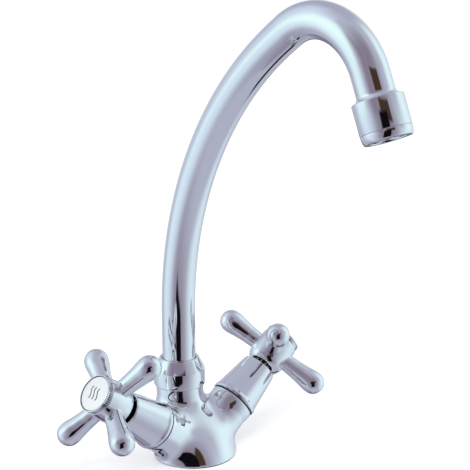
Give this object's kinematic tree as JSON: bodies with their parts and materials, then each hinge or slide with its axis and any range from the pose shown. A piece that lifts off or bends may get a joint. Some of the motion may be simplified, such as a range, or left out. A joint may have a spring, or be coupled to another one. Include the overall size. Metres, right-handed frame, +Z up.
{
  "type": "tall basin mixer tap",
  "caption": "Tall chromed basin mixer with a high swivelling gooseneck spout, cross handles on angled valves and an aerator at the outlet.",
  "frame": {"origin": "centre of the base's underside, on the deck", "axes": "+Z up, -Y the way the spout points at rest, -X towards the hot handle"},
  "size_m": [0.1709, 0.1983, 0.2801],
  "materials": {
    "chrome": "polished chrome plate on brass",
    "brass": "turned, unplated",
    "steel": "bright stainless steel",
    "rubber": "moulded black rubber",
    "glide": "natural acetal",
    "alumina": "lapped alumina",
    "grey_plastic": "moulded acetal",
    "white_plastic": "glossy white",
    "mark_grey": "dark grey inlay"
  },
  "bodies": {
    "body": {"body": "chrome", "base_gasket": "rubber", "spout_nut": "chrome", "lower_glide_ring": "glide", "upper_glide_ring": "glide", "hot_shroud": "chrome", "hot_shroud_ring": "rubber", "hot_valve": "brass", "hot_valve_seal": "rubber", "hot_seat_seal": "rubber", "hot_fixed_disc": "alumina", "cold_shroud": "chrome", "cold_shroud_ring": "rubber", "cold_valve": "brass", "cold_valve_seal": "rubber", "cold_seat_seal": "rubber", "cold_fixed_disc": "alumina"},
    "spout": {"spout_foot": "brass", "spout_o_rings": "rubber", "spout_tube": "chrome", "outlet_cup": "chrome", "aerator_washer": "rubber", "aerator_housing": "chrome", "aerator_core": "grey_plastic", "aerator_screen": "steel"},
    "hot_cross": {"hot_handle": "chrome", "hot_spline_bush": "white_plastic", "hot_handle_screw": "steel", "hot_spindle": "brass", "hot_spindle_o_rings": "rubber", "hot_circlip": "steel", "hot_moving_disc": "alumina", "hot_index_cap": "chrome", "hot_index_disc": "white_plastic", "hot_index_mark": "mark_grey"},
    "cold_cross": {"cold_handle": "chrome", "cold_spline_bush": "white_plastic", "cold_handle_screw": "steel", "cold_spindle": "brass", "cold_spindle_o_rings": "rubber", "cold_circlip": "steel", "cold_moving_disc": "alumina", "cold_index_cap": "chrome", "cold_index_disc": "white_plastic", "cold_index_mark": "mark_grey"}
  },
  "joints": [
    {"name": "spout_swivel", "type": "hinge", "parent": "body", "child": "spout", "pos_m": [0, 0.0143, 0.0448], "axis": [0, 0, 1], "continuous": true},
    {"name": "hot_turn", "type": "hinge", "parent": "body", "child": "hot_cross", "pos_m": [-0.06327, 0, 0.05007], "axis": [-0.8059, 0, 0.592], "range_deg": [0, 90]},
    {"name": "cold_turn", "type": "hinge", "parent": "body", "child": "cold_cross", "pos_m": [0.06327, 0, 0.05007], "axis": [0.8059, 0, 0.592], "range_deg": [0, 90]}
  ]
}
